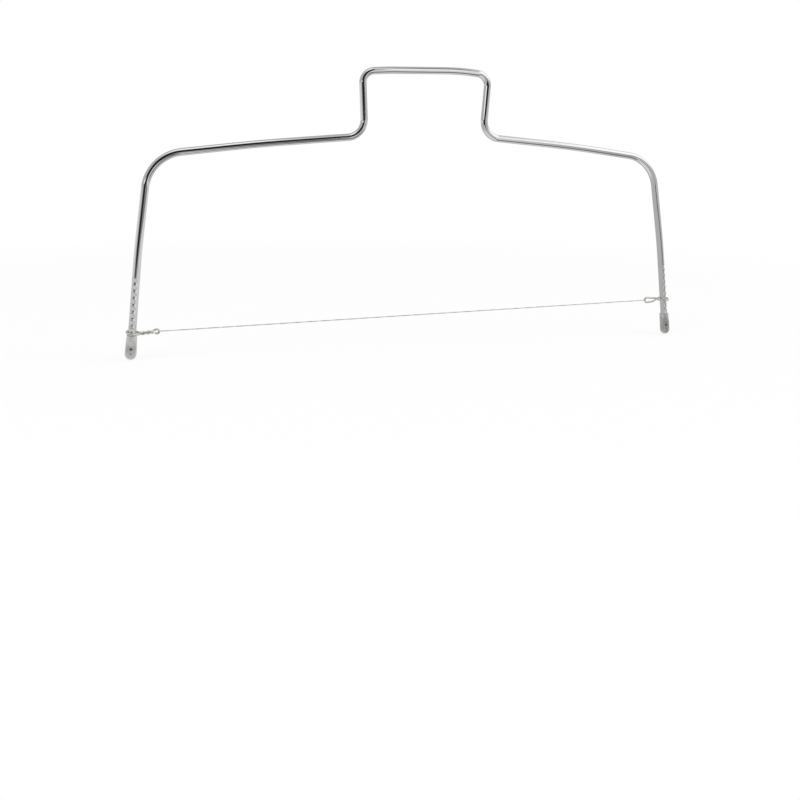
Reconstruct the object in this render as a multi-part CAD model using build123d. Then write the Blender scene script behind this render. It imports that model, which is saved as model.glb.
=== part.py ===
from build123d import *
import math
import os

# Cake leveler: a bow bent from one steel rod, with a fine cutting wire strung between its two legs.
# Millimetres. X runs from the left leg to the right one, Y away from the viewer, Z up.
# The origin is midway between the tips of the feet, on the table that they slide along.

LEFT, RIGHT = -1, 1

# Bow: the rod's axis, seen from the front. It is bent by hand, so its two halves differ a little.
ROD_D = 4.0
FOOT_X = 156.1  # the leg's axis where it meets the table
SPLAY_LOW = {LEFT: 4.0, RIGHT: 5.6}  # lean of the leg's notched stretch, in degrees
SPLAY_HIGH = {LEFT: 6.1, RIGHT: 8.0}  # lean of the leg above its bend
LEG_BEND_Z = 55.0
CORNER_Z = {LEFT: 104.4, RIGHT: 105.9}  # where the leg and the shoulder would meet
SHOULDER_CREST = {LEFT: (91.0, 111.3), RIGHT: (91.0, 112.6)}
GRIP_ROOT = {LEFT: (34.1, 116.4), RIGHT: (34.5, 117.2)}  # where the shoulder and the grip's side would meet
GRIP_CORNER = {LEFT: (35.8, 151.4), RIGHT: (37.2, 152.0)}
GRIP_FLAT = {LEFT: (20.5, 152.5), RIGHT: (20.5, 153.7)}  # ends of the grip's straight stretch
LEG_BEND_R = 443.0
CORNER_R = 20.7
SHOULDER_R = 900.0
GRIP_ROOT_R = 9.6
GRIP_CORNER_R = 6.7
GRIP_FLAT_R = 150.0

# Notches in the front and outer side of each leg
NOTCH_COUNT = 8
NOTCH_PITCH = 3.6
NOTCH_FIRST_Z = 15.5
NOTCH_DEPTH = 1.0
NOTCH_R = 0.95
NOTCH_TURN = 35.0  # how far the notches face outwards from the front, in degrees

# Feet: a cap on each rod end, round at its rim and pinched flat at its tip
CAP_RIM_S = 12.4  # distances along the leg, from the foot's tip
CAP_RIM_R = 2.6
CAP_TIP_S = 3.0
CAP_TIP_HALF = (3.1, 2.3)  # half width and half depth above the rounded tip
CAP_FLOOR_S = 8.2
CAP_EDGE = 0.2
PINCH_HALF = 1.5
PINCH_TOP_S = 6.6
PINCH_RAMP = (2.6, 8.6)  # where the ramp above the flat leaves the cap
PUNCH_R = 0.75
PUNCH_DEPTH = 0.9
PUNCH_S = 5.5
DIMPLE_R = 0.65
DIMPLE_DEPTH = 0.3
DIMPLE_S = 3.0

# Hooks: distances inwards from the leg's axis, and heights from the middle of the loop
HOOK_D = 0.9
STRAND_OFF = 0.68  # from the twist's axis to a strand's
LEFT_LOOP_Z = 14.26
LEFT_LOOP_R = 2.7
LEFT_LOOP_CANT = (-0.24, 0.36)  # rise of the loop inwards and towards the back
LEFT_LOOP_OPEN = 47.0  # half the angle that the loop leaves open, in degrees
LEFT_TWIST_FROM = (4.05, -0.97)
LEFT_TWIST_TO = (10.25, -0.43)
LEFT_TWIST_TURN = -450.0
LEFT_EYE = (12.19, -0.26)
LEFT_EYE_R = 1.1
LEFT_EYE_END = 208.0  # where the eye stops, in degrees from its top
RIGHT_LOOP_Z = 21.2
RIGHT_LOOP_R = 3.1
RIGHT_LOOP_CANT = (-0.05, 0.2)
RIGHT_LOOP_OPEN = 42.0
RIGHT_TWIST_FROM = (4.2, 0.0)
RIGHT_TWIST_TO = (5.6, 0.05)
RIGHT_TWIST_TURN = -90.0
RIGHT_EYE = (11.2, -0.35)
RIGHT_EYE_R = 1.45
RIGHT_EYE_TAPER = 8.0  # slope of the long eye's sides, in degrees
RIGHT_EYE_END = 7.0

# Cutting wire: two twisted strands, opened into a narrow loop at each end
WIRE_D = 0.6
WIRE_STRAND_D = 0.3
WIRE_LOOP_HALF = 0.75
WIRE_LOOP_STRAIGHT = 4.3
WIRE_LOOP_L = 7.2
WIRE_STRAND_OFF = 0.14
WIRE_JOIN = 0.3

GAP_STEP = 0.15


def leg_x(side, z):
    """How far the notched stretch of a leg stands from the middle, at a height."""
    return FOOT_X - z * math.tan(math.radians(SPLAY_LOW[side]))


def on_leg(shape, side):
    """A shape modelled on an upright leg, leaned and moved to its place on the left or right leg."""
    return Pos(side * FOOT_X, 0, 0) * Rot(0, -side * SPLAY_LOW[side], 0) * shape


def half_axis(side):
    """Where the rod's straight runs would meet on one half, from the rod's end to the grip."""
    rod_end_z = CAP_FLOOR_S * math.cos(math.radians(SPLAY_LOW[side]))
    bend_x = leg_x(side, LEG_BEND_Z)
    corner_x = bend_x - (CORNER_Z[side] - LEG_BEND_Z) * math.tan(math.radians(SPLAY_HIGH[side]))
    half = [
        (leg_x(side, rod_end_z), rod_end_z),
        (bend_x, LEG_BEND_Z),
        (corner_x, CORNER_Z[side]),
        SHOULDER_CREST[side],
        GRIP_ROOT[side],
        GRIP_CORNER[side],
        GRIP_FLAT[side],
    ]
    return [(side * x, 0, z) for x, z in half]


def bow_axis():
    """The rod's axis from the left rod end to the right one, as straight runs joined by arcs."""
    radii = [LEG_BEND_R, CORNER_R, SHOULDER_R, GRIP_ROOT_R, GRIP_CORNER_R, GRIP_FLAT_R]
    return FilletPolyline(*half_axis(LEFT), *reversed(half_axis(RIGHT)), radius=radii + radii[::-1])


def notch_cutters(side):
    """Round-bottomed cutters for one leg's notches."""
    lean = math.radians(SPLAY_LOW[side])
    turn = math.radians(NOTCH_TURN)
    outwards = Vector(side * math.cos(lean), 0, math.sin(lean))
    up_leg = Vector(-side * math.sin(lean), 0, math.cos(lean))
    facing = outwards * math.sin(turn) + Vector(0, -1, 0) * math.cos(turn)
    along = up_leg.cross(facing)
    reach = ROD_D / 2 - NOTCH_DEPTH + NOTCH_R
    cutters = []
    for i in range(NOTCH_COUNT):
        z = NOTCH_FIRST_Z + i * NOTCH_PITCH
        centre = Vector(side * leg_x(side, z), 0, z) + facing * reach
        cutters.append(Plane(origin=centre, z_dir=along) * Cylinder(NOTCH_R, 2 * ROD_D))
    return cutters


def bow_frame():
    axis = bow_axis()
    rod = sweep(Plane(origin=axis @ 0, z_dir=axis % 0) * Circle(ROD_D / 2), path=axis)
    return rod - notch_cutters(LEFT) - notch_cutters(RIGHT)


def foot(side):
    """A cap lofted from a round rim to an oval, with a rounded tip, pinched cheeks and punch marks."""
    oval = Pos(0, 0, CAP_TIP_S) * Ellipse(*CAP_TIP_HALF)
    rim = Pos(0, 0, CAP_RIM_S) * Ellipse(CAP_RIM_R, CAP_RIM_R)
    cap = loft([oval, rim])
    tip = Pos(0, 0, CAP_TIP_S) * scale(Sphere(1), by=(*CAP_TIP_HALF, CAP_TIP_S + 0.1))
    cap += split(tip, bisect_by=Plane.XY.offset(CAP_TIP_S), keep=Keep.BOTTOM)
    cap = chamfer(cap.edges().sort_by(Axis.Z)[-1], CAP_EDGE)
    bore_l = CAP_RIM_S - CAP_FLOOR_S
    cap -= Pos(0, 0, CAP_FLOOR_S + bore_l) * Cylinder(ROD_D / 2, 2 * bore_l)
    for face in (-1, 1):
        cheek = Plane.YZ * Polygon(
            (face * PINCH_HALF, -1),
            (face * PINCH_HALF, PINCH_TOP_S),
            (face * PINCH_RAMP[0], PINCH_RAMP[1]),
            (face * 2 * PINCH_RAMP[0], PINCH_RAMP[1]),
            (face * 2 * PINCH_RAMP[0], -1),
            align=None,
        )
        cap -= extrude(cheek, amount=2 * CAP_TIP_HALF[0], both=True)
        punch = Rot(90, 0, 0) * Cylinder(PUNCH_R, 2 * PUNCH_DEPTH)
        cap -= Pos(0, face * PINCH_HALF, PUNCH_S) * punch
        ball_r = (DIMPLE_R**2 + DIMPLE_DEPTH**2) / (2 * DIMPLE_DEPTH)
        ball_y = face * (PINCH_HALF - DIMPLE_DEPTH + ball_r)
        cap -= Pos(0, ball_y, DIMPLE_S) * Sphere(ball_r)
    return split(on_leg(cap, side), bisect_by=Plane.XY, keep=Keep.TOP)


def biarc(start, start_dir, end, end_dir):
    """One or two arcs that leave start and reach end along the given unit directions."""
    reach = end - start
    both = start_dir + end_dir
    bend = 2 * (1 - start_dir.dot(end_dir))
    if (start_dir - reach.normalized()).length < 1e-6 and bend < 1e-9:
        return [Line(start, end)]
    along = reach.dot(both)
    if bend < 1e-9:
        arm = reach.dot(reach) / (2 * along)
    else:
        arm = (math.sqrt(along**2 + bend * reach.dot(reach)) - along) / bend
    from_start = start + start_dir * arm
    from_end = end - end_dir * arm
    middle = (from_start + from_end) * 0.5
    middle_dir = (from_end - from_start).normalized()
    edges = []
    for a, b, direction in ((start, middle, start_dir), (middle, end, middle_dir)):
        straight = (direction - (b - a).normalized()).length < 1e-6
        edges.append(Line(a, b) if straight else TangentArc(a, b, tangent=direction))
    return edges


def tube_axis(stations):
    """A wire of arcs through a list of stations, each a point and a direction."""
    edges = []
    for (p, p_dir), (q, q_dir) in zip(stations, stations[1:]):
        edges += biarc(p, p_dir.normalized(), q, q_dir.normalized())
    return Wire([e.edge() for e in edges])


def tube(axis, diameter):
    return sweep(Plane(origin=axis @ 0, z_dir=axis % 0) * Circle(diameter / 2), path=axis)


def least_gap(axis, diameter):
    """The smallest clear distance from the tube to a later stretch of itself, measured on points."""
    count = math.ceil(axis.length / GAP_STEP)
    points = [axis @ (i / count) for i in range(count + 1)]
    skip = math.ceil(3 * diameter / GAP_STEP)
    gaps = [(p - q).length for i, p in enumerate(points) for q in points[i + skip :]]
    return min(gaps) - diameter


def hook_place(side, loop_z):
    """A function from distance inwards, depth and height to a point of the part."""

    def place(inwards, y, height):
        return Vector(side * (leg_x(side, loop_z) - inwards), y, loop_z + height)

    return place


def direction_at(curve, t):
    """The direction of a curve given as a function of t."""
    step = 1e-4
    return (curve(t + step) - curve(t - step)).normalized()


def loop_stations(place, radius, cant, open_angle):
    """Round the leg from the back of the twist's root to the front of it."""

    def curve(angle):
        inwards, y = radius * math.cos(angle), radius * math.sin(angle)
        return place(inwards, y, cant[0] * inwards + cant[1] * y)

    first = math.radians(open_angle)
    count = 6
    angles = [first + 2 * (math.pi - first) * i / count for i in range(count + 1)]
    return [(curve(a), direction_at(curve, a)) for a in angles]


def twist_stations(place, start, end, turn, phase):
    """One strand of the twist, from the leg to the eye, with a station every quarter turn."""
    run, rise = end[0] - start[0], end[1] - start[1]
    length = math.hypot(run, rise)

    def curve(t):
        angle = math.radians(phase + turn * t)
        y, across = STRAND_OFF * math.cos(angle), STRAND_OFF * math.sin(angle)
        inwards = start[0] + run * t - across * rise / length
        return place(inwards, y, start[1] + rise * t + across * run / length)

    count = round(abs(turn) / 90)
    return [(curve(i / count), direction_at(curve, i / count)) for i in range(count + 1)]


def eye_stations(place, centre, radius, angles):
    """Stations round the eye, by angle from its top and onwards over the tip."""

    def curve(angle):
        return place(centre[0] + radius * math.sin(angle), 0, centre[1] + radius * math.cos(angle))

    return [(curve(math.radians(a)), direction_at(curve, math.radians(a))) for a in angles]


def grip_and_twist(place, loop, twist):
    """From the cut end at the eye, back along the twist, round the leg and to the eye again."""
    back_strand = twist_stations(place, *twist, phase=0)
    tucked = [(point, direction * -1) for point, direction in reversed(back_strand)]
    front_strand = twist_stations(place, *twist, phase=180)
    return tucked + loop_stations(place, *loop) + front_strand


def left_hook_axis():
    place = hook_place(LEFT, LEFT_LOOP_Z)
    loop = (LEFT_LOOP_R, LEFT_LOOP_CANT, LEFT_LOOP_OPEN)
    twist = (LEFT_TWIST_FROM, LEFT_TWIST_TO, LEFT_TWIST_TURN)
    eye = eye_stations(place, LEFT_EYE, LEFT_EYE_R, angles=(0, 90, 180, LEFT_EYE_END))
    return tube_axis(grip_and_twist(place, loop, twist) + eye)


def right_hook_axis():
    place = hook_place(RIGHT, RIGHT_LOOP_Z)
    loop = (RIGHT_LOOP_R, RIGHT_LOOP_CANT, RIGHT_LOOP_OPEN)
    twist = (RIGHT_TWIST_FROM, RIGHT_TWIST_TO, RIGHT_TWIST_TURN)
    slant = RIGHT_EYE_TAPER
    eye = eye_stations(place, RIGHT_EYE, RIGHT_EYE_R, angles=(-slant, 90, 180 + slant))
    fat, side_dir = eye[-1]
    run = place(RIGHT_EYE_END, 0, 0).X - fat.X
    end = fat + side_dir * (run / side_dir.X)
    return tube_axis(grip_and_twist(place, loop, twist) + eye + [(end, side_dir)])


def eye_tip(side):
    """The middle of the wire at the far tip of a hook's eye, where the cutting wire pulls."""
    if side == LEFT:
        place, eye, radius = hook_place(LEFT, LEFT_LOOP_Z), LEFT_EYE, LEFT_EYE_R
    else:
        place, eye, radius = hook_place(RIGHT, RIGHT_LOOP_Z), RIGHT_EYE, RIGHT_EYE_R
    return place(eye[0] + radius, 0, eye[1])


def end_loop_axis(tip, towards):
    """A narrow lying loop round an eye's tip, open where its strands join the twisted stretch."""
    across = Vector(0, 1, 0)

    def at(run, y):
        return tip + towards * run + across * y

    half = [
        (at(WIRE_LOOP_L, WIRE_STRAND_OFF), towards * -1),
        (at(WIRE_LOOP_STRAIGHT, WIRE_LOOP_HALF), towards * -1),
        (at(0, WIRE_LOOP_HALF), towards * -1),
        (at(-WIRE_LOOP_HALF, 0), across * -1),
    ]
    other = [
        (at(0, -WIRE_LOOP_HALF), towards),
        (at(WIRE_LOOP_STRAIGHT, -WIRE_LOOP_HALF), towards),
        (at(WIRE_LOOP_L, -WIRE_STRAND_OFF), towards),
    ]
    return tube_axis(half + other)


def cutting_wire():
    left, right = eye_tip(LEFT), eye_tip(RIGHT)
    towards = (right - left).normalized()
    first = left + towards * (WIRE_LOOP_L - WIRE_JOIN)
    last = right - towards * (WIRE_LOOP_L - WIRE_JOIN)
    twisted = tube(Wire([Line(first, last).edge()]), WIRE_D)
    left_loop = tube(end_loop_axis(left, towards), WIRE_STRAND_D)
    right_loop = tube(end_loop_axis(right, towards * -1), WIRE_STRAND_D)
    return twisted + left_loop + right_loop


def hook(name, axis):
    tightest = min(e.radius for e in axis.edges() if e.geom_type == GeomType.CIRCLE)
    shape = tube(axis, HOOK_D)
    swept = axis.length * math.pi * HOOK_D**2 / 4
    print(f"{name}: length {axis.length:.2f}, tightest bend {tightest:.2f}, "
          f"least gap {least_gap(axis, HOOK_D):.2f}, volume {shape.volume:.3f} of {swept:.3f}")
    return shape


def main():
    nodes = {
        "bow_frame": bow_frame(),
        "left_foot": foot(LEFT),
        "right_foot": foot(RIGHT),
        "left_hook": hook("left_hook", left_hook_axis()),
        "right_hook": hook("right_hook", right_hook_axis()),
        "cutting_wire": cutting_wire(),
    }
    os.makedirs("parts", exist_ok=True)
    for name, shape in nodes.items():
        export_step(shape, f"parts/{name}.step")
    for side in (LEFT, RIGHT):
        tip = eye_tip(side)
        print(f"eye tip {tip.X:.3f}, {tip.Y:.3f}, {tip.Z:.3f}")


main()
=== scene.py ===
import math

import bmesh
import bpy
from bpy.props import FloatProperty, FloatVectorProperty, IntProperty, PointerProperty
from mathutils import Matrix, Vector


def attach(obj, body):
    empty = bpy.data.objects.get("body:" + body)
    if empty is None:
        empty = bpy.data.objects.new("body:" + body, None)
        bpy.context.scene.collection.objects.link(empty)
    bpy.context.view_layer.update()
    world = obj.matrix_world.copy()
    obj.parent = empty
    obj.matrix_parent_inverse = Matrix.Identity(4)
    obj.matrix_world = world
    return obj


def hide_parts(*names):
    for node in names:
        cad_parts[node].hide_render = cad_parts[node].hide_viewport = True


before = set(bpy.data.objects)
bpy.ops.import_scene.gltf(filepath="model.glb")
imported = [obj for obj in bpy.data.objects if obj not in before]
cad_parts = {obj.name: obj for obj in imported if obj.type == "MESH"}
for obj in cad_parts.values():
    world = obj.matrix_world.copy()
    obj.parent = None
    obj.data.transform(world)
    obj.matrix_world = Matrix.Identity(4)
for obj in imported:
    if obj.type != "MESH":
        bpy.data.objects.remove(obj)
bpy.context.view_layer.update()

bl_info = {
    "name": "Cake leveler looks",
    "version": (1, 0, 0),
    "blender": (4, 5, 0),
    "location": "View3D > Sidebar > Cake leveler",
    "description": "Builds the polished bow, its feet, the hooks and the wire of a cake leveler",
    "category": "Add Mesh",
}

MM = 0.001
UP, BACK = Vector((0, 0, 1)), Vector((0, 1, 0))
LEFT, RIGHT = -1, 1
SHARP_ANGLE = math.radians(38)

# Sizes below are in millimetres and angles in degrees, unless they go through math.radians.
# Z is a height above the table, and S a distance up the leg from where it would meet the table.

# Bow: the rod's axis seen from the front, as in the part's source
FOOT_X = 156.1
SPLAY_LOW = {LEFT: math.radians(4.0), RIGHT: math.radians(5.6)}
SPLAY_HIGH = {LEFT: math.radians(6.1), RIGHT: math.radians(8.0)}
LEG_BEND_Z = 55.0
CORNER_Z = {LEFT: 104.4, RIGHT: 105.9}
SHOULDER_CREST = {LEFT: (91.0, 111.3), RIGHT: (91.0, 112.6)}
GRIP_ROOT = {LEFT: (34.1, 116.4), RIGHT: (34.5, 117.2)}
GRIP_CORNER = {LEFT: (35.8, 151.4), RIGHT: (37.2, 152.0)}
GRIP_FLAT = {LEFT: (20.5, 152.5), RIGHT: (20.5, 153.7)}
BEND_RADII = (443.0, 20.7, 900.0, 9.6, 6.7, 150.0)
ROD_END_S = 8.2
NOTCHED_STEP, PLAIN_STEP = 0.6, 12.0
BEND_STEP, FEWEST_BEND_STEPS = 2.6, 10

# Notches
NOTCH_COUNT = 8
NOTCH_FIRST_Z = 15.5
NOTCH_TURN = math.radians(35.0)
NOTCH_R, NOTCH_CUTTER_L = 0.95, 8.0
NOTCH_EASE, NOTCH_EDGE = 0.1, math.radians(25)
NOTCHED_LOW_Z, NOTCHED_HIGH_Z = 14.0, 44.0

# Feet: half sizes are across and deep, and the bore is a radius and a height over the rim each
CAP_RIM_S, CAP_RIM_R, CAP_SIDES = 12.4, 2.6, 128
CAP_BORE = ((2.42, 0.10), (2.12, 0.10), (2.03, 0.0), (2.03, -1.6))
CAP_TIP_S, CAP_TIP_HALF = 3.0, (2.95, 2.3)
CAP_TIP_BELOW, CAP_TIP_SWEEP = 0.1, math.radians(86)
CAP_WALL_STEPS, CAP_TIP_STEPS = 72, 28
PINCH_HALF, PINCH_TOP_S, PINCH_RAMP_S, PINCH_FIRMNESS = 1.5, 6.6, 10.4, 9.0
PUNCH_R, PUNCH_DEPTH, PUNCH_S = 0.75, 0.9, 5.5
DIMPLE_R, DIMPLE_DEPTH, DIMPLE_S = 0.7, 0.35, 3.0
MARK_EASE, MARK_EDGE, MARKS_TOP_Z = 0.1, math.radians(35), 8.0

# Hooks: places are distances inwards from the leg's axis and heights over the loop's middle.
# A loop's cant is how much it rises inwards and backwards, and the height of its middle.
# A twist has its start, its end and how far it turns.
HOOK_Z = {LEFT: 14.26, RIGHT: 21.2}
LOOP_R = {LEFT: 2.7, RIGHT: 2.97}
LOOP_CANT = {LEFT: (-0.14, 0.2, -0.43), RIGHT: (-0.05, 0.2, 0.0)}
LOOP_OPEN = 47.0
TWIST = {LEFT: ((4.05, -0.97), (10.25, -0.43), -450.0), RIGHT: ((4.3, 0.0), (5.65, 0.05), -90.0)}
STRAND_OFF = 0.575
EYE = {LEFT: (12.19, -0.26), RIGHT: (11.2, -0.35)}
EYE_R = {LEFT: 1.1, RIGHT: 1.45}
LEFT_EYE_END = 240.0
RIGHT_EYE_TAPER, RIGHT_EYE_END = 8.0, 6.3
LOOP_STATIONS, EYE_STATIONS, TWIST_STEP = 20, 14, 22.5
WIRE_STEP, HOOK_SIDES = 0.14, 24
HOOK_END_EASE, HOOK_END_EDGE = 0.09, math.radians(60)

# Cutting wire
EYE_LOOP_HALF, EYE_LOOP_STRAIGHT, EYE_LOOP_L = 0.75, 4.3, 7.2
STRAND_R, STRAND_PITCH = 0.15, 2.6
STRAND_STEP, STRAND_SIDES, TIP_STEPS = 0.16, 8, 16

# Colours of painted shade on the caps and hooks, and of a greenish band on the caps
# a darker greenish tint in a band across the caps' middle height
GREENISH_BAND = (0.58, 0.59, 0.52)
# painted shade on the right cap
RIGHT_CAP_SHADE = (0.36, 0.36, 0.35)
# painted shade in the caps' punched holes and dimples
MARK_SHADE = (0.10, 0.10, 0.07)
# painted shade on the hooks where they hug the legs
LEG_CONTACT_SHADE = (0.30, 0.30, 0.31)

# Stage, in metres
FLOOR_SIZE, FLOOR_AT = 1.0, (0, 0.66, -0.0002)
LAMPS = (("key_lamp", (-0.9, -0.7, 1.3), 8.0), ("fill_lamp", (1.1, -0.5, 1.0), 5.0))
LAMP_SIZE, LAMP_AIM = 1.0, (0, 0, 0.07)
CAMERA_AT = (-0.14947, -0.46484, 0.10644)
CAMERA_YAW, CAMERA_PITCH, CAMERA_ROLL = 16.287, 3.028, 0.815
CAMERA_SENSOR, CAMERA_LENS, CAMERA_SHIFT_Y = 36.0, 39.555, -0.2483
CAMERA_NEAR, CAMERA_FAR = 0.01, 20.0

# Studio: brightness, then the left, right, low and high edge of each wall, card or window round
# the object, as (angle, softness), counted from the front towards the right and up from the
# horizon, and how far its sides and its top lean
STUDIO_LEVEL = 0.62
STUDIO = (
    (0.69, (61, 20), (138, 25), (-80, 20), (30, 20), 0.0, 0.0),  # right wall
    (1.49, (-79, 20), (14, 3), (53, 14), (140, 10), 0.0, 0.0),  # soft box overhead
    (1.03, (-150, 25), (150, 25), (-140, 10), (-64, 8), 0.0, 0.0),  # table, right below
    (0.96, (-120, 25), (24, 5), (-80, 10), (-36, 10), -0.1, 0.0),  # table, left
    (0.92, (-160, 15), (-72, 6), (-6, 3), (4, 2), 0.0, 0.0),  # left wall
    (0.92, (75, 12), (160, 15), (-14, 5), (0, 6), 0.0, 0.0),  # foot of the right wall
    (1.32, (-20, 10), (24, 4), (46, 8), (62, 6), 0.0, 0.0),  # front edge of the soft box
    (1.49, (17.5, 0.8), (103, 20), (18, 5), (59, 6), 0.37, 0.0),  # window on the right
    (0.13, (26, 5), (46.5, 7), (44.5, 8), (66, 8), 0.0, 0.0),  # card in front of that window
    (0.17, (32, 8.5), (59, 7), (-56, 10), (-5, 3), 0.0, 0.0),  # shaded table, right
    (0.2, (20, 5), (60, 10), (-78, 4), (-40, 8), 0.0, 0.0),  # shade nearer to the object
    (0.95, (10, 4), (75, 10), (-15, 1.5), (-9.3, 0.8), 0.0, 0.0),  # light strip on the table
    (1.4, (14.2, 0.3), (24, 5), (-20, 8), (32, 9), 0.06, 0.0),  # light gap by the dark room
    (0.02, (-46, 14), (14.1, 0.6), (-8, 2.5), (52, 15), 0.0, 0.0),  # dark room behind the camera
    (0.02, (4, 5), (14.2, 1), (-38, 18), (-13, 1.5), -0.15, 0.0),  # its lower part
    (0.28, (10, 4), (38, 8), (-8.8, 0.8), (-4, 1.5), 0.0, 0.0),  # dark foot of the gap
    (0.05, (14, 1), (36, 6), (2.4, 0.7), (5.6, 0.7), 0.0, 0.0),  # dark sill across the gap
    (1.52, (-57, 5.5), (-33, 5), (3.6, 0.6), (8.4, 1.0), 0.0, 0.06),  # lamp in the dark room
)


class RodSizes(bpy.types.PropertyGroup):
    """Sizes of the bow's rod and of its notches"""

    diameter: FloatProperty(
        name="Rod diameter", description="Thickness of the bow's round rod",
        default=4.0 * MM, min=1 * MM, unit="LENGTH")
    notch_pitch: FloatProperty(
        name="Notch pitch", description="Distance from one notch to the next",
        default=3.6 * MM, min=2 * MM, unit="LENGTH")
    notch_depth: FloatProperty(
        name="Notch depth", description="How deep the notches are cut",
        default=1.0 * MM, min=0.1 * MM, unit="LENGTH")
    sides: IntProperty(
        name="Sides", description="Flat faces round the rod", default=96, min=12, max=192)


class WireSizes(bpy.types.PropertyGroup):
    """Sizes of the hooks' wire and of the cutting wire"""

    hook_diameter: FloatProperty(
        name="Hook wire", description="Thickness of the wire that the hooks are bent from",
        default=1.14 * MM, min=0.3 * MM, unit="LENGTH")
    strand_diameter: FloatProperty(
        name="Strand", description="Thickness of one strand of the cutting wire",
        default=0.3 * MM, min=0.1 * MM, unit="LENGTH")


class FinishColours(bpy.types.PropertyGroup):
    """Colours of the metals and of the floor"""

    plating: FloatVectorProperty(
        name="Rod plating", description="Colour of the bow's bright plating",
        default=(0.66, 0.66, 0.67), subtype="COLOR", min=0, max=1)
    cap: FloatVectorProperty(
        name="Foot caps", description="Colour of the pressed caps",
        default=(0.88, 0.88, 0.90), subtype="COLOR", min=0, max=1)
    hook: FloatVectorProperty(
        name="Hook wire", description="Colour of the hooks' drawn wire",
        default=(0.80, 0.80, 0.76), subtype="COLOR", min=0, max=1)
    cutting: FloatVectorProperty(
        name="Cutting wire", description="Colour of the cutting wire",
        default=(0.74, 0.74, 0.74), subtype="COLOR", min=0, max=1)
    floor: FloatVectorProperty(
        name="Floor", description="Colour of the pale floor",
        default=(0.9, 0.9, 0.9), subtype="COLOR", min=0, max=1)


# Shader maths


class Value:
    """A shader socket that can be used in Python arithmetic, each step of which adds a node."""

    def __init__(self, maker, socket):
        self.maker, self.socket = maker, socket

    def maths(self, operation, *others):
        inputs = dict(enumerate((self,) + others))
        return self.maker.node("ShaderNodeMath", inputs, operation=operation)

    def __add__(self, other):
        return self.maths("ADD", other)

    def __radd__(self, other):
        return self.maths("ADD", other)

    def __sub__(self, other):
        return self.maths("SUBTRACT", other)

    def __rsub__(self, other):
        return (self * -1.0).maths("ADD", other)

    def __mul__(self, other):
        return self.maths("MULTIPLY", other)

    def __rmul__(self, other):
        return self.maths("MULTIPLY", other)

    def __gt__(self, other):
        return self.maths("GREATER_THAN", other)

    def smooth(self, low, high):
        """0 below low, 1 above high, and a smooth step between them."""
        inputs = {0: self, 1: low, 2: high, 3: 0.0, 4: 1.0}
        return self.maker.node("ShaderNodeMapRange", inputs, interpolation_type="SMOOTHSTEP")


class NodeMaker:
    """Adds nodes to one material or world."""

    def __init__(self, owner):
        owner.use_nodes = True
        self.tree = owner.node_tree
        self.tree.nodes.clear()

    def node(self, kind, inputs=None, output=0, **settings):
        """A node of a type, with the values or links of its sockets, and the output wanted."""
        made = self.tree.nodes.new(kind)
        for name, setting in settings.items():
            setattr(made, name, setting)
        for key, source in (inputs or {}).items():
            if isinstance(source, Value):
                self.tree.links.new(source.socket, made.inputs[key])
            else:
                made.inputs[key].default_value = source
        return Value(self, made.outputs[output])

    def parts(self, vector):
        """The three numbers of a vector."""
        split = self.node("ShaderNodeSeparateXYZ", {0: vector}).socket.node
        return [Value(self, number) for number in split.outputs]

    def place(self):
        """The point on the piece, in metres, and its three coordinates."""
        point = self.node("ShaderNodeTexCoord", output="Object")
        return point, *self.parts(point)

    def stretched(self, point, scale):
        return self.node("ShaderNodeMapping", {"Vector": point, "Scale": scale})

    def noise(self, point, scale, detail, roughness):
        inputs = {"Vector": point, "Scale": scale, "Detail": detail, "Roughness": roughness}
        return self.node("ShaderNodeTexNoise", inputs, noise_dimensions="3D")

    def mixed(self, amount, one, other):
        """A colour between two colours."""
        inputs = {0: amount, 6: one, 7: other}
        return self.node("ShaderNodeMix", inputs, output=2, data_type="RGBA", blend_type="MIX")

    def bump(self, height, depth, strength):
        inputs = {"Strength": strength, "Distance": depth, "Height": height}
        return self.node("ShaderNodeBump", inputs)

    def metal(self, colour, roughness, normal):
        inputs = {"Base Color": colour, "Roughness": roughness, "Metallic": 1.0, "Normal": normal}
        return self.node("ShaderNodeBsdfPrincipled", inputs)

    def finish(self, shader, kind="ShaderNodeOutputMaterial"):
        self.tree.links.new(shader.socket, self.tree.nodes.new(kind).inputs["Surface"])


def opaque(colour):
    return tuple(colour) + (1.0,)


def shade(colour, factor):
    return tuple(c * factor for c in colour) + (1.0,)


def out_of_leg(x, z, right):
    """How far a point stands out of its leg's axis, seen from the front, as a shader value."""
    low_left, low_right = math.tan(SPLAY_LOW[LEFT]), math.tan(SPLAY_LOW[RIGHT])
    lean = right * (low_right - low_left) + low_left
    return x.maths("ABSOLUTE") - (FOOT_X * MM - z * lean)


def bright_plating(colours):
    """The bow: bright plating with faint draw marks, thin smudges and duller faces in the notches.

    The left leg's notches are painted lighter, a painted highlight, and the right leg's are
    painted darker, painted shade.
    """
    material = bpy.data.materials.new("bright_plating")
    make = NodeMaker(material)
    point, x, y, z = make.place()
    right = x > 0.0
    out = out_of_leg(x, z, right)
    from_axis = (out * out + y * y).maths("SQRT")
    notched = 1.0 - z.smooth(NOTCHED_HIGH_Z * MM, (NOTCHED_HIGH_Z + 1.0) * MM)
    cut = (1.0 - from_axis.smooth(1.90 * MM, 1.96 * MM)) * notched
    smudge = make.noise(point, 90.0, 4.0, 0.6).smooth(0.45, 0.75)
    grain = make.noise(make.stretched(point, (1.0, 1.0, 0.25)), 2600.0, 3.0, 0.6)
    colour = make.mixed(smudge * 0.35, opaque(colours.plating), shade(colours.plating, 0.86))
    # painted light and shade: the left leg's notches are painted lighter, the right leg's darker
    notch_light_and_shade = make.mixed(right, shade(colours.plating, 1.25), shade(colours.plating, 0.62))
    colour = make.mixed(cut, colour, notch_light_and_shade)
    roughness = 0.05 + smudge * 0.04 + cut * 0.3 + grain * 0.02
    make.finish(make.metal(colour, roughness, make.bump(grain, 0.003 * MM, 0.3)))
    return material


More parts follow.
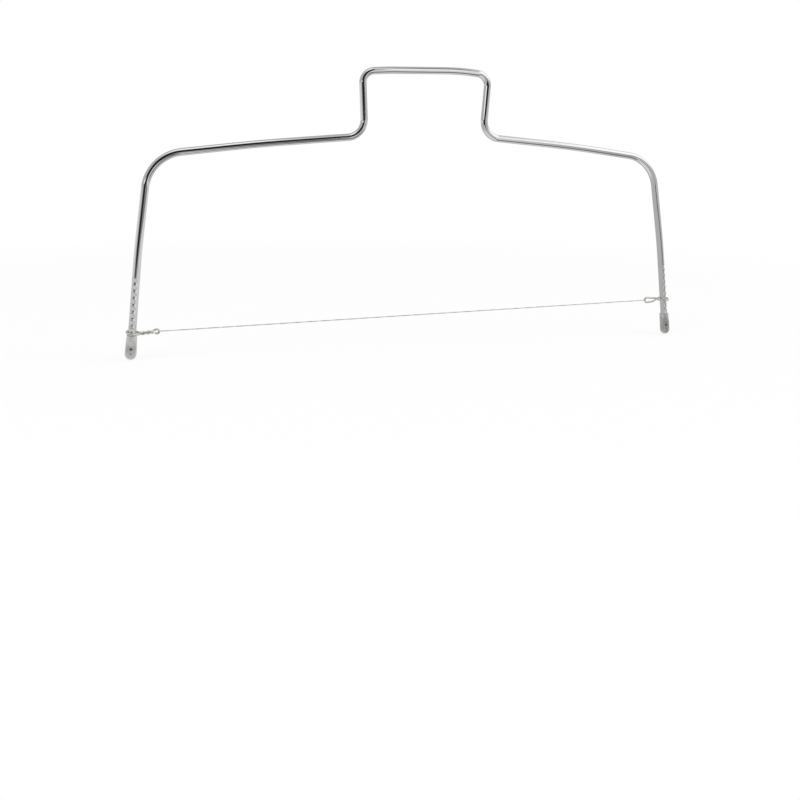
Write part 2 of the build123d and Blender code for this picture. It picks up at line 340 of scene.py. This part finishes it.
def cap_plating(colours):
    """The feet: satin plating over pressed steel, mottled, and tinted darker and greenish in a
    band across their middle height, round the punched hole.

    The right cap is painted darker in patches, as painted shade, and the two marks on each cap are
    painted dark, as painted shade in their hollows, the left cap's more than the right's.
    """
    material = bpy.data.materials.new("cap_plating")
    make = NodeMaker(material)
    point, x, _, z = make.place()
    mottle = make.noise(point, 700.0, 4.0, 0.65)
    specks = make.noise(point, 2600.0, 2.0, 0.5)
    patches = make.noise(point, 380.0, 2.0, 0.6).smooth(0.42, 0.62)
    right = x > 0.0
    out = out_of_leg(x, z, right)
    mottled = mottle.smooth(0.35, 0.7) * 0.4
    colour = make.mixed(mottled, opaque(colours.cap), shade(colours.cap, 0.8))
    # a darker greenish tint in a band across the cap's middle height
    middle_band = z.smooth(3.4 * MM, 5.4 * MM) * (1.0 - z.smooth(6.0 * MM, 11.5 * MM))
    colour = make.mixed(middle_band * 0.55, colour, opaque(GREENISH_BAND))
    # painted shade: the right cap is painted darker, in patches
    colour = make.mixed(right * (0.28 + patches * 0.36), colour, opaque(RIGHT_CAP_SHADE))
    # painted shade: the punched hole and the dimple are painted dark, the left cap's more than the
    # right's
    for height, reach, darkness in ((PUNCH_S, PUNCH_R, 0.65), (DIMPLE_S, DIMPLE_R, 0.35)):
        up = z - height * MM
        distance = (out * out + up * up).maths("SQRT")
        mark = 1.0 - distance.smooth(0.75 * reach * MM, reach * MM)
        colour = make.mixed(mark * (1.0 - right * 0.85) * darkness, colour, opaque(MARK_SHADE))
    roughness = 0.5 + mottle * 0.16 + specks * 0.05
    normal = make.bump(mottle * 0.7 + specks * 0.3, 0.03 * MM, 0.6)
    make.finish(make.metal(colour, roughness, normal))
    return material


def drawn_wire(name, colour, roughness, shaded_at_grip=False):
    """Drawn steel wire: semi-bright, mottled, with fine draw marks, and painted shade where it
    grips the leg.
    """
    material = bpy.data.materials.new(name)
    make = NodeMaker(material)
    point, x, _, z = make.place()
    mottle = make.noise(point, 900.0, 3.0, 0.6)
    marks = make.noise(make.stretched(point, (0.3, 1.0, 1.0)), 5000.0, 2.0, 0.5)
    tint = make.mixed(mottle.smooth(0.4, 0.7) * 0.6, opaque(colour), shade(colour, 0.7))
    if shaded_at_grip:
        out = out_of_leg(x, z, x > 0.0).maths("ABSOLUTE")
        near = 1.0 - out.smooth(3.0 * MM, 5.5 * MM)
        # painted shade: the wire is painted darker, mottled, near the leg it grips
        tint = make.mixed(near * (0.05 + mottle * 0.2), tint, opaque(LEG_CONTACT_SHADE))
    rough = roughness + mottle * 0.1 + marks * 0.05
    make.finish(make.metal(tint, rough, make.bump(marks, 0.006 * MM, 0.5)))
    return material


# Making pieces


def leg_x(side, z):
    """How far a leg's notched stretch stands from the middle at a height."""
    return FOOT_X - z * math.tan(SPLAY_LOW[side])


def on_leg(side):
    """The turn and move that lean an upright shape onto the left or right leg."""
    lean = Matrix.Rotation(-side * SPLAY_LOW[side], 4, "Y")
    return Matrix.Translation((side * FOOT_X * MM, 0, 0)) @ lean


def eased(share):
    """A share from 0 to 1 that starts and ends gently."""
    return share * share * (3 - 2 * share)


def linked_object(name, bm):
    """A mesh object in the scene, made of a bmesh that is used up by it."""
    mesh = bpy.data.meshes.new(name)
    bm.to_mesh(mesh)
    bm.free()
    made = bpy.data.objects.new(name, mesh)
    bpy.context.scene.collection.objects.link(made)
    return made


def piece(name, bm, body, node, material):
    """Makes the finished mesh an object that rides on a body and stands for a CAD node."""
    made = linked_object(name, bm)
    made.data.shade_smooth()
    made.data.set_sharp_from_angle(angle=SHARP_ANGLE)
    made.data.materials.append(material)
    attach(made, body)
    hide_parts(node)


def carved(bm, cutter_bm):
    """The first shape with the second cut out of it."""
    blank, cutter = linked_object("blank", bm), linked_object("cutter", cutter_bm)
    cut = blank.modifiers.new("cut", "BOOLEAN")
    cut.operation, cut.solver, cut.object = "DIFFERENCE", "EXACT", cutter
    depsgraph = bpy.context.evaluated_depsgraph_get()
    result = bpy.data.meshes.new_from_object(blank.evaluated_get(depsgraph))
    out = bmesh.new()
    out.from_mesh(result)
    for made in (blank, cutter):
        mesh = made.data
        bpy.data.objects.remove(made)
        bpy.data.meshes.remove(mesh)
    bpy.data.meshes.remove(result)
    return out


def ease_edges(bm, width, low, chosen=None):
    """Rounds the edges whose faces meet at more than an angle."""
    high = math.radians(150)
    edges = [e for e in bm.edges if len(e.link_faces) == 2 and low < e.calc_face_angle(0) < high]
    if chosen is not None:
        edges = [e for e in edges if chosen((e.verts[0].co + e.verts[1].co) / 2)]
    bmesh.ops.bevel(bm, geom=edges, offset=width, offset_type="OFFSET", segments=2, profile=0.5,
                    affect="EDGES", clamp_overlap=True, material=-1)


def ring_edges(geometry):
    """The edges in what a bmesh operator made."""
    return [g for g in geometry if isinstance(g, bmesh.types.BMEdge)]


class RodBender:
    """Draws a round rod out of its first end in the XZ plane, as a bending machine does."""

    def __init__(self, start, heading, diameter, sides):
        self.bm = bmesh.new()
        self.at, self.heading = start.copy(), heading.normalized()
        turn = UP.rotation_difference(self.heading).to_matrix().to_4x4()
        place = Matrix.Translation(start) @ turn
        bmesh.ops.create_circle(self.bm, segments=sides, radius=diameter / 2, matrix=place)
        self.ring = list(self.bm.edges)
        self._cap()

    def _cap(self):
        bmesh.ops.holes_fill(self.bm, edges=self.ring, sides=0)

    def feed(self, length, steps):
        """Goes straight on."""
        made = bmesh.ops.spin(self.bm, geom=self.ring, cent=self.at, axis=BACK, angle=0.0,
                              dvec=self.heading * (length / steps), steps=steps,
                              use_duplicate=False)
        self.ring = ring_edges(made["geom_last"])
        self.at += self.heading * length

    def turn(self, radius, angle, steps):
        """Bends round a centre: a positive angle turns from up towards the right."""
        hand = math.copysign(1.0, angle)
        centre = self.at + BACK.cross(self.heading) * (hand * radius)
        made = bmesh.ops.spin(self.bm, geom=self.ring, cent=centre, axis=BACK, angle=angle,
                              steps=steps, use_duplicate=False)
        self.ring = ring_edges(made["geom_last"])
        bend = Matrix.Rotation(angle, 3, "Y")
        self.at = centre + bend @ (self.at - centre)
        self.heading = bend @ self.heading

    def end(self):
        self._cap()
        return self.bm


def half_corners(side):
    """Where the rod's straight runs would meet on one half, from the rod's end to the grip."""
    rod_end_z = ROD_END_S * math.cos(SPLAY_LOW[side])
    bend_x = leg_x(side, LEG_BEND_Z)
    corner_x = bend_x - (CORNER_Z[side] - LEG_BEND_Z) * math.tan(SPLAY_HIGH[side])
    half = [(leg_x(side, rod_end_z), rod_end_z), (bend_x, LEG_BEND_Z), (corner_x, CORNER_Z[side]),
            SHOULDER_CREST[side], GRIP_ROOT[side], GRIP_CORNER[side], GRIP_FLAT[side]]
    return [Vector((side * x, 0, z)) for x, z in half]


def bent_rod(diameter, sides):
    """The whole rod, fed and bent from the left leg's end to the right leg's end."""
    corners = half_corners(LEFT) + half_corners(RIGHT)[::-1]
    radii = (0.0,) + BEND_RADII + BEND_RADII[::-1] + (0.0,)
    runs = [b - a for a, b in zip(corners, corners[1:])]
    rod = RodBender(corners[0] * MM, runs[0], diameter, sides)
    spent = 0.0
    for i, run in enumerate(runs):
        angle, tangent = 0.0, 0.0
        if i + 1 < len(runs):
            after = runs[i + 1]
            angle = math.copysign(run.angle(after), run.cross(after).y)
            tangent = radii[i + 1] * math.tan(abs(angle) / 2)
        length = run.length - spent - tangent
        step = NOTCHED_STEP if i in (0, len(runs) - 1) else PLAIN_STEP
        rod.feed(length * MM, max(1, round(length / step)))
        if angle:
            steps = max(FEWEST_BEND_STEPS, round(math.degrees(abs(angle)) / BEND_STEP))
            rod.turn(radii[i + 1] * MM, angle, steps)
        spent = tangent
    return rod.end()


def notch_cutters(sizes):
    """Round-bottomed cutters for the notches of both legs."""
    bm = bmesh.new()
    reach = sizes.diameter / 2 - sizes.notch_depth + NOTCH_R * MM
    for side in (LEFT, RIGHT):
        lean = SPLAY_LOW[side]
        outwards = Vector((side * math.cos(lean), 0, math.sin(lean)))
        up_leg = Vector((-side * math.sin(lean), 0, math.cos(lean)))
        facing = outwards * math.sin(NOTCH_TURN) - BACK * math.cos(NOTCH_TURN)
        turn = UP.rotation_difference(up_leg.cross(facing)).to_matrix().to_4x4()
        for i in range(NOTCH_COUNT):
            z = NOTCH_FIRST_Z + i * sizes.notch_pitch / MM
            centre = Vector((side * leg_x(side, z), 0, z)) * MM + facing * reach
            bmesh.ops.create_cone(
                bm, cap_ends=True, segments=48, radius1=NOTCH_R * MM, radius2=NOTCH_R * MM,
                depth=NOTCH_CUTTER_L * MM, matrix=Matrix.Translation(centre) @ turn)
    return bm


def pinched(y, s):
    """How a point of the cap moves in where its cheeks are pressed flat."""
    if s > PINCH_RAMP_S:
        return y
    limit = PINCH_HALF
    if s > PINCH_TOP_S:
        share = (s - PINCH_TOP_S) / (PINCH_RAMP_S - PINCH_TOP_S)
        limit += (CAP_RIM_R - PINCH_HALF) * eased(share)
    return y / (1 + abs(y / limit) ** PINCH_FIRMNESS) ** (1 / PINCH_FIRMNESS)


def cap_levels():
    """Rings down a cap from its rim to its tip: a distance up the leg and two half sizes each."""
    across, deep = CAP_TIP_HALF
    levels = []
    for i in range(CAP_WALL_STEPS + 1):
        share = i / CAP_WALL_STEPS
        levels.append((CAP_RIM_S + (CAP_TIP_S - CAP_RIM_S) * i / CAP_WALL_STEPS,
                       CAP_RIM_R + (across - CAP_RIM_R) * share,
                       CAP_RIM_R + (deep - CAP_RIM_R) * share))
    for i in range(1, CAP_TIP_STEPS + 1):
        angle = CAP_TIP_SWEEP * i / CAP_TIP_STEPS
        levels.append((CAP_TIP_S - (CAP_TIP_S + CAP_TIP_BELOW) * math.sin(angle),
                       across * math.cos(angle), deep * math.cos(angle)))
    return levels


def next_ring(bm, ring, scale_x, scale_y, rise):
    """Draws the next ring of a cap's skin out of the last one."""
    made = bmesh.ops.extrude_edge_only(bm, edges=ring)["geom"]
    verts = [g for g in made if isinstance(g, bmesh.types.BMVert)]
    bmesh.ops.scale(bm, vec=(scale_x, scale_y, 1), verts=verts)
    bmesh.ops.translate(bm, vec=(0, 0, rise * MM), verts=verts)
    return ring_edges(made)


def cap_shape(side):
    """A foot cap: an open rim, flat cheeks, a rounded tip, and two marks on each cheek."""
    bm = bmesh.new()
    start = Matrix.Translation((0, 0, CAP_RIM_S * MM))
    bmesh.ops.create_circle(bm, segments=CAP_SIDES, radius=CAP_RIM_R * MM, matrix=start)
    rim = list(bm.edges)
    ring = rim
    levels = cap_levels()
    for (s0, across0, deep0), (s1, across1, deep1) in zip(levels, levels[1:]):
        ring = next_ring(bm, ring, across1 / across0, deep1 / deep0, s1 - s0)
    bmesh.ops.holes_fill(bm, edges=ring, sides=0)
    for v in bm.verts:
        v.co.y = pinched(v.co.y / MM, v.co.z / MM) * MM
    ring, last_r, last_height = rim, CAP_RIM_R, 0.0
    for bore_r, height in CAP_BORE:
        ring = next_ring(bm, ring, bore_r / last_r, bore_r / last_r, height - last_height)
        last_r, last_height = bore_r, height
    bmesh.ops.holes_fill(bm, edges=ring, sides=0)
    bmesh.ops.recalc_face_normals(bm, faces=bm.faces)
    bmesh.ops.transform(bm, matrix=on_leg(side), verts=bm.verts)
    everything = list(bm.verts) + list(bm.edges) + list(bm.faces)
    cut = bmesh.ops.bisect_plane(bm, geom=everything, plane_co=(0, 0, 0), plane_no=(0, 0, 1),
                                 clear_inner=True)
    bmesh.ops.holes_fill(bm, edges=ring_edges(cut["geom_cut"]), sides=0)
    bm = carved(bm, punch_cutters(side))
    ease_edges(bm, MARK_EASE * MM, MARK_EDGE, chosen=lambda p: p.z < MARKS_TOP_Z * MM)
    return bm


def punch_cutters(side):
    """Cutters for the punched hole and the dimple on both cheeks of a cap."""
    bm = bmesh.new()
    ball_r = (DIMPLE_R**2 + DIMPLE_DEPTH**2) / (2 * DIMPLE_DEPTH)
    for face in (-1, 1):
        flat = face * pinched(CAP_TIP_HALF[1], PUNCH_S)
        turn = Matrix.Rotation(math.radians(90), 4, "X")
        hole = Matrix.Translation((0, flat * MM, PUNCH_S * MM)) @ turn
        bmesh.ops.create_cone(
            bm, cap_ends=True, segments=48, radius1=PUNCH_R * MM, radius2=PUNCH_R * MM,
            depth=2 * PUNCH_DEPTH * MM, matrix=hole)
        flat = face * pinched(CAP_TIP_HALF[1], DIMPLE_S)
        ball_y = flat + face * (ball_r - DIMPLE_DEPTH)
        ball = Matrix.Translation((0, ball_y * MM, DIMPLE_S * MM))
        bmesh.ops.create_uvsphere(bm, u_segments=64, v_segments=48, radius=ball_r * MM,
                                  matrix=ball)
    bmesh.ops.transform(bm, matrix=on_leg(side), verts=bm.verts)
    return bm


def hook_place(side):
    """A function from distance inwards, depth and height to a point by a hook's loop."""

    def place(inwards, y, height):
        return Vector((side * (leg_x(side, HOOK_Z[side]) - inwards), y, HOOK_Z[side] + height))

    return place


def samples(curve, ends, count):
    """Points and directions along a curve that is given as a function."""
    low, high = ends
    nudge = (high - low) * 1e-4
    found = []
    for i in range(count + 1):
        t = low + (high - low) * i / count
        found.append((curve(t), (curve(t + nudge) - curve(t - nudge)).normalized()))
    return found


def grip_and_twist(side):
    """From the cut end at the eye, back along the twist, round the leg and to the eye again."""
    place = hook_place(side)
    start, end, turn = TWIST[side]
    run, rise = end[0] - start[0], end[1] - start[1]
    length = math.hypot(run, rise)

    def strand(phase):
        def curve(t):
            angle = math.radians(phase + turn * t)
            y, across = STRAND_OFF * math.cos(angle), STRAND_OFF * math.sin(angle)
            inwards = start[0] + run * t - across * rise / length
            return place(inwards, y, start[1] + rise * t + across * run / length)

        return samples(curve, (0, 1), max(3, round(abs(turn) / TWIST_STEP)))

    def loop(degrees):
        angle = math.radians(degrees)
        inwards, y = LOOP_R[side] * math.cos(angle), LOOP_R[side] * math.sin(angle)
        rise_in, rise_back, middle = LOOP_CANT[side]
        return place(inwards, y, rise_in * inwards + rise_back * y + middle)

    tucked = [(p, -d) for p, d in reversed(strand(0))]
    round_leg = samples(loop, (LOOP_OPEN, 360 - LOOP_OPEN), LOOP_STATIONS)
    return tucked + round_leg + strand(180)


def eye(side, ends):
    """The eye's wire from an angle to another, counted from its top and onwards over the tip."""
    place, (inwards, height), radius = hook_place(side), EYE[side], EYE_R[side]

    def curve(degrees):
        angle = math.radians(degrees)
        return place(inwards + radius * math.sin(angle), 0, height + radius * math.cos(angle))

    return samples(curve, ends, EYE_STATIONS)


def left_hook_line():
    """The left hook: a round eye that closes on itself."""
    return grip_and_twist(LEFT) + eye(LEFT, (0, LEFT_EYE_END))


def right_hook_line():
    """The right hook: a long eye, whose lower side runs back to the twist."""
    stations = grip_and_twist(RIGHT) + eye(RIGHT, (-RIGHT_EYE_TAPER, 180 + RIGHT_EYE_TAPER))
    bend_end, back_dir = stations[-1]
    run = hook_place(RIGHT)(RIGHT_EYE_END, 0, 0).x - bend_end.x
    return stations + [(bend_end + back_dir * (run / back_dir.x), back_dir)]


def smooth_line(stations):
    """Points along smooth cubic pieces through stations of a point and a direction each."""
    points = [stations[0][0]]
    for (p, p_dir), (q, q_dir) in zip(stations, stations[1:]):
        reach = (q - p).length
        count = max(1, math.ceil(reach / WIRE_STEP))
        for i in range(1, count + 1):
            t = i / count
            near, far = (1 - t) ** 2, t**2
            points.append(p * (near * (1 + 2 * t)) + q * (far * (3 - 2 * t))
                          + p_dir * (reach * t * near) - q_dir * (reach * far * (1 - t)))
    return points


def wire_tube(points, diameter, sides, closed=False):
    """A round wire along points, as a mesh."""
    curve = bpy.data.curves.new("wire_line", "CURVE")
    curve.dimensions, curve.twist_mode = "3D", "MINIMUM"
    line = curve.splines.new("POLY")
    line.points.add(len(points) - 1)
    for spot, point in zip(line.points, points):
        spot.co = (*(point * MM), 1.0)
    line.use_cyclic_u = closed
    curve.bevel_depth, curve.bevel_resolution = diameter / 2, sides // 4 - 1
    curve.use_fill_caps = not closed
    holder = bpy.data.objects.new("wire_line", curve)
    bpy.context.scene.collection.objects.link(holder)
    depsgraph = bpy.context.evaluated_depsgraph_get()
    mesh = bpy.data.meshes.new_from_object(holder.evaluated_get(depsgraph))
    bm = bmesh.new()
    bm.from_mesh(mesh)
    bpy.data.objects.remove(holder)
    bpy.data.curves.remove(curve)
    bpy.data.meshes.remove(mesh)
    bmesh.ops.remove_doubles(bm, verts=bm.verts, dist=0.001 * MM)
    bmesh.ops.recalc_face_normals(bm, faces=bm.faces)
    return bm


def eye_tip(side):
    """The middle of the wire at the far tip of a hook's eye."""
    inwards, height = EYE[side]
    return hook_place(side)(inwards + EYE_R[side], 0, height)


def cutting_line():
    """One closed line: along one strand, round the right eye's tip, and back along the other."""
    left, right = eye_tip(LEFT), eye_tip(RIGHT)
    along = (right - left).normalized()
    above = along.cross(BACK) * -1
    span = (right - left).length
    twisted = span - 2 * EYE_LOOP_L
    half_turns = round(twisted / (STRAND_PITCH / 2))

    def half_width(u):
        share = (min(u, span - u) - EYE_LOOP_STRAIGHT) / (EYE_LOOP_L - EYE_LOOP_STRAIGHT)
        share = min(1.0, max(0.0, share))
        return EYE_LOOP_HALF + (STRAND_R - EYE_LOOP_HALF) * eased(share)

    def strand(u, hand):
        twist = math.pi * half_turns * min(1.0, max(0.0, (u - EYE_LOOP_L) / twisted))
        swing = BACK * math.cos(twist) + above * math.sin(twist)
        return left + along * u + swing * (hand * half_width(u))

    def stretch(hand):
        count = round(span / STRAND_STEP)
        return [strand(span * i / count, hand) for i in range(count + 1)]

    def round_tip(tip, outwards, hand):
        """The half circle behind an eye's tip, without its ends."""
        angles = [math.pi * i / TIP_STEPS for i in range(1, TIP_STEPS)]
        return [tip + (outwards * math.sin(a) + BACK * (hand * math.cos(a))) * EYE_LOOP_HALF
                for a in angles]

    there = stretch(1)
    back = stretch(-1)[::-1]
    last_hand = 1 if (there[-1] - right).y > 0 else -1
    return there + round_tip(right, along, last_hand) + back + round_tip(left, -along, -1)


# Stage


def floor(colour):
    """A pale floor that fades to white for the camera and is left out of reflections."""
    bm = bmesh.new()
    bmesh.ops.create_grid(bm, x_segments=1, y_segments=1, size=FLOOR_SIZE,
                          matrix=Matrix.Translation(FLOOR_AT))
    made = linked_object("floor", bm)
    material = bpy.data.materials.new("pale_floor")
    make = NodeMaker(material)
    _, x, y, _ = make.place()
    away = (x * x + y * y).maths("SQRT").smooth(0.3, 0.75)
    camera_ray = make.node("ShaderNodeLightPath", output="Is Camera Ray")
    glossy_ray = make.node("ShaderNodeLightPath", output="Is Glossy Ray")
    plain = make.node("ShaderNodeBsdfDiffuse", {"Color": opaque(colour)})
    white = make.node("ShaderNodeEmission", {"Color": (1, 1, 1, 1), "Strength": 1.0})
    clear = make.node("ShaderNodeBsdfTransparent")
    share = camera_ray * (0.8 + away * 0.2)
    seen = make.node("ShaderNodeMixShader", {0: share, 1: plain, 2: white})
    make.finish(make.node("ShaderNodeMixShader", {0: glossy_ray, 1: seen, 2: clear}))
    made.data.materials.append(material)


def studio(scene):
    """White for the camera, and the studio's walls, cards and windows for everything else."""
    world = bpy.data.worlds.new("studio")
    scene.world = world
    make = NodeMaker(world)
    across, away, up = make.parts(make.node("ShaderNodeTexCoord", output="Generated"))
    turn = across.maths("ARCTAN2", away * -1.0) * math.degrees(1)
    height = up.maths("ARCSINE") * math.degrees(1)
    light = STUDIO_LEVEL
    for level, left, right, low, high, slant, rise in STUDIO:
        turned = turn - height * slant if slant else turn
        raised = height + turn * rise if rise else height
        inside = (turned.smooth(left[0] - left[1], left[0] + left[1])
                  * (1.0 - turned.smooth(right[0] - right[1], right[0] + right[1]))
                  * raised.smooth(low[0] - low[1], low[0] + low[1])
                  * (1.0 - raised.smooth(high[0] - high[1], high[0] + high[1])))
        light = light + (level - light) * inside
    camera_ray = make.node("ShaderNodeLightPath", output="Is Camera Ray")
    seen = make.node("ShaderNodeBackground", {"Color": (1, 1, 1, 1), "Strength": 1.0})
    lit = make.node("ShaderNodeBackground", {"Color": (1, 1, 1, 1), "Strength": light})
    shown = make.node("ShaderNodeMixShader", {0: camera_ray, 1: lit, 2: seen})
    make.finish(shown, "ShaderNodeOutputWorld")


def lamps():
    """Two soft lamps that light the matt faces and aren't reflected."""
    for name, spot, power in LAMPS:
        light = bpy.data.lights.new(name, "AREA")
        light.shape, light.size, light.energy = "SQUARE", LAMP_SIZE, power
        made = bpy.data.objects.new(name, light)
        made.location = spot
        made.visible_glossy = False
        towards = Vector(LAMP_AIM) - Vector(spot)
        made.rotation_euler = towards.to_track_quat("-Z", "Y").to_euler()
        bpy.context.scene.collection.objects.link(made)


def camera(scene):
    """The photograph's viewing angle, from the left and level with the bow's shoulders."""
    yaw, pitch, roll = map(math.radians, (CAMERA_YAW, CAMERA_PITCH, CAMERA_ROLL))
    forward = Vector((math.sin(yaw) * math.cos(pitch), math.cos(yaw) * math.cos(pitch),
                      -math.sin(pitch)))
    right = forward.cross(UP).normalized()
    up = right.cross(forward)
    right, up = (right * math.cos(roll) + up * math.sin(roll),
                 up * math.cos(roll) - right * math.sin(roll))
    data = bpy.data.cameras.new("camera")
    data.sensor_width, data.lens, data.shift_y = CAMERA_SENSOR, CAMERA_LENS, CAMERA_SHIFT_Y
    data.clip_start, data.clip_end = CAMERA_NEAR, CAMERA_FAR
    made = bpy.data.objects.new("camera", data)
    turn = Matrix((right, up, -forward)).transposed().to_4x4()
    made.matrix_world = Matrix.Translation(CAMERA_AT) @ turn
    scene.collection.objects.link(made)
    scene.camera = made


# Operators


class LEVELER_OT_bow(bpy.types.Operator):
    """Bend the rod into the bow and cut its notches"""

    bl_idname = "leveler.bow"
    bl_label = "Bow"

    def execute(self, context):
        sizes = context.scene.leveler_rod
        bm = carved(bent_rod(sizes.diameter, sizes.sides), notch_cutters(sizes))
        ease_edges(bm, NOTCH_EASE * MM, NOTCH_EDGE,
                   chosen=lambda p: NOTCHED_LOW_Z * MM < p.z < NOTCHED_HIGH_Z * MM)
        material = bright_plating(context.scene.leveler_colours)
        piece("bow_rod", bm, "frame", "bow_frame", material)
        return {"FINISHED"}


class LEVELER_OT_feet(bpy.types.Operator):
    """Press the two foot caps"""

    bl_idname = "leveler.feet"
    bl_label = "Foot caps"

    def execute(self, context):
        material = cap_plating(context.scene.leveler_colours)
        for side, name in ((LEFT, "left"), (RIGHT, "right")):
            piece(f"{name}_foot_cap", cap_shape(side), "frame", f"{name}_foot",
                  material)
        return {"FINISHED"}


class LEVELER_OT_hooks(bpy.types.Operator):
    """Bend and twist the two wire hooks"""

    bl_idname = "leveler.hooks"
    bl_label = "Hooks"

    def execute(self, context):
        diameter = context.scene.leveler_wires.hook_diameter
        colour = context.scene.leveler_colours.hook
        material = drawn_wire("hook_wire", colour, 0.32, shaded_at_grip=True)
        for name, line in (("left", left_hook_line()), ("right", right_hook_line())):
            bm = wire_tube(smooth_line(line), diameter, HOOK_SIDES)
            ease_edges(bm, HOOK_END_EASE * MM, HOOK_END_EDGE)
            piece(f"{name}_hook_wire", bm, f"{name}_hook_body", f"{name}_hook",
                  material)
        return {"FINISHED"}


class LEVELER_OT_cutting_wire(bpy.types.Operator):
    """Twist the two strands of the cutting wire and close them round the hooks' eyes"""

    bl_idname = "leveler.cutting_wire"
    bl_label = "Cutting wire"

    def execute(self, context):
        diameter = context.scene.leveler_wires.strand_diameter
        material = drawn_wire("cutting_wire", context.scene.leveler_colours.cutting, 0.22)
        bm = wire_tube(cutting_line(), diameter, STRAND_SIDES, closed=True)
        piece("twisted_cutting_wire", bm, "wire_body", "cutting_wire", material)
        return {"FINISHED"}


class LEVELER_OT_stage(bpy.types.Operator):
    """Set the pale floor, the soft studio light and the camera"""

    bl_idname = "leveler.stage"
    bl_label = "Stage"

    def execute(self, context):
        floor(context.scene.leveler_colours.floor)
        studio(context.scene)
        lamps()
        camera(context.scene)
        context.scene.view_settings.view_transform = "Standard"
        return {"FINISHED"}


class LEVELER_PT_panel(bpy.types.Panel):
    """The steps that build the cake leveler"""

    bl_idname = "LEVELER_PT_panel"
    bl_label = "Cake leveler"
    bl_space_type = "VIEW_3D"
    bl_region_type = "UI"
    bl_category = "Cake leveler"

    def draw(self, context):
        for step in STEPS:
            self.layout.operator(step.bl_idname)


STEPS = (LEVELER_OT_bow, LEVELER_OT_feet, LEVELER_OT_hooks, LEVELER_OT_cutting_wire,
         LEVELER_OT_stage)
CLASSES = (RodSizes, WireSizes, FinishColours) + STEPS + (LEVELER_PT_panel,)


def register():
    for made in CLASSES:
        bpy.utils.register_class(made)
    bpy.types.Scene.leveler_rod = PointerProperty(type=RodSizes)
    bpy.types.Scene.leveler_wires = PointerProperty(type=WireSizes)
    bpy.types.Scene.leveler_colours = PointerProperty(type=FinishColours)


def unregister():
    del bpy.types.Scene.leveler_rod
    del bpy.types.Scene.leveler_wires
    del bpy.types.Scene.leveler_colours
    for made in reversed(CLASSES):
        bpy.utils.unregister_class(made)


def main():
    register()
    bpy.ops.leveler.bow()
    bpy.ops.leveler.feet()
    bpy.ops.leveler.hooks()
    bpy.ops.leveler.cutting_wire()
    bpy.ops.leveler.stage()


if __name__ == "__main__":
    main()
